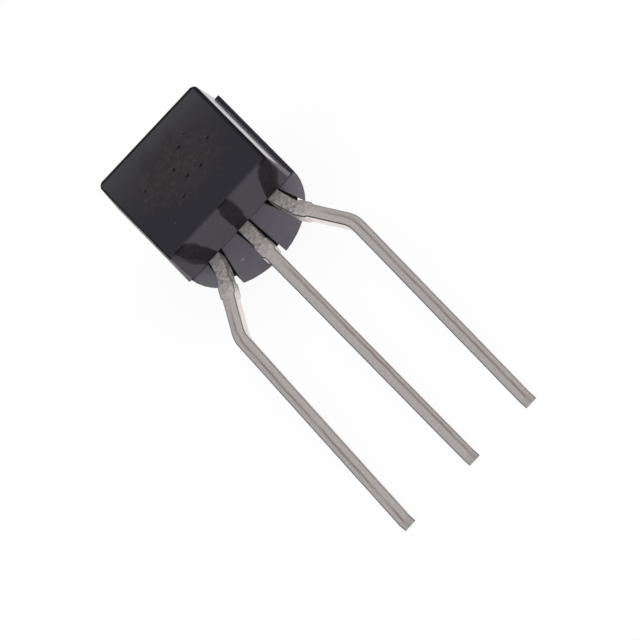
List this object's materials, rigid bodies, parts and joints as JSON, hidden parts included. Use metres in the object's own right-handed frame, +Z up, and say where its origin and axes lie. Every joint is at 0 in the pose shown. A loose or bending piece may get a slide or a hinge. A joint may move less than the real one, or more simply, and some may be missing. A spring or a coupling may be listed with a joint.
{
  "type": "thyristor",
  "caption": "Small thyristor: a D-shaped dark moulded body with a bare flat face and a round back, and long rectangular leads spread below it.",
  "frame": {"origin": "on the surface that the part lies on, under the middle of its outer box", "axes": "+Y from the lead tips towards the top of the body, +Z up, out of the flat side, +X to the right with the flat up and the leads towards the viewer"},
  "size_m": [0.0056, 0.0182, 0.0038],
  "materials": {
    "moulding": "dark grey filled moulding compound, fine sheen",
    "tinned_lead": "tin plated, satin, with sheared edges",
    "silicon": "polished silicon",
    "solder": "dull solder",
    "gold_wire": "bright gold wire",
    "aluminium_wire": "bright aluminium wire"
  },
  "bodies": {
    "root": {"moulded_body": "moulding", "cathode_lead": "tinned_lead", "gate_lead": "tinned_lead", "anode_lead": "tinned_lead", "silicon_chip": "silicon", "die_attach": "solder", "gate_wire": "gold_wire", "cathode_wire": "aluminium_wire"}
  },
  "joints": []
}
